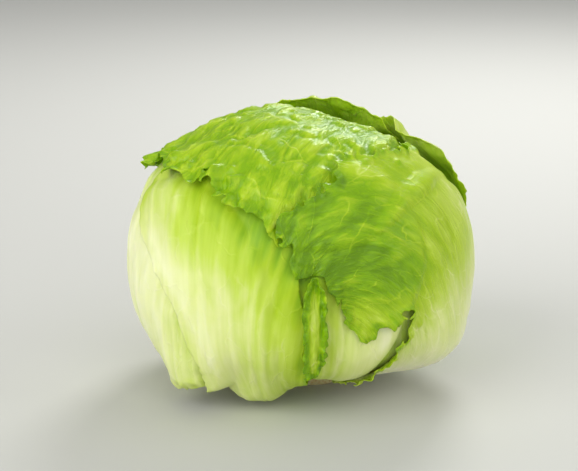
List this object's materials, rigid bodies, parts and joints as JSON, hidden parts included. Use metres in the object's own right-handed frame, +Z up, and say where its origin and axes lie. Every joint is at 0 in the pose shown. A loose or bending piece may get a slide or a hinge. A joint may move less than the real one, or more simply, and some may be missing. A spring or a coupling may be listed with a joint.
{
  "type": "iceberg lettuce",
  "caption": "Whole iceberg lettuce head: a tight ball of crinkled overlapping leaves around a heart, with pale rib bases and a short cut stem it stands on.",
  "frame": {"origin": "centre of the stem's cut face, which lies on the surface the head stands on", "axes": "+Z up along the stem; the front with the large pale leaf and the narrow torn leaf faces -Y; +X is to the right seen from the front"},
  "size_m": [0.1656, 0.1624, 0.1312],
  "materials": {
    "stem": "pale cut stem, dull and slightly browned",
    "heart": "pale yellow folded leaf, satin",
    "pale_leaf": "pale ribbed leaf base, waxy",
    "green_leaf": "fresh green crinkled leaf, waxy"
  },
  "bodies": {
    "root": {"stem": "stem", "heart": "heart", "left_lower_leaf": "pale_leaf", "right_lower_leaf": "pale_leaf", "back_left_leaf": "green_leaf", "front_right_leaf": "pale_leaf", "left_leaf": "pale_leaf", "front_left_leaf": "pale_leaf", "crown_leaf": "green_leaf", "right_leaf": "green_leaf", "back_leaf": "green_leaf", "back_right_leaf": "green_leaf", "back_lower_leaf": "pale_leaf", "sliver_leaf": "green_leaf"}
  },
  "joints": []
}
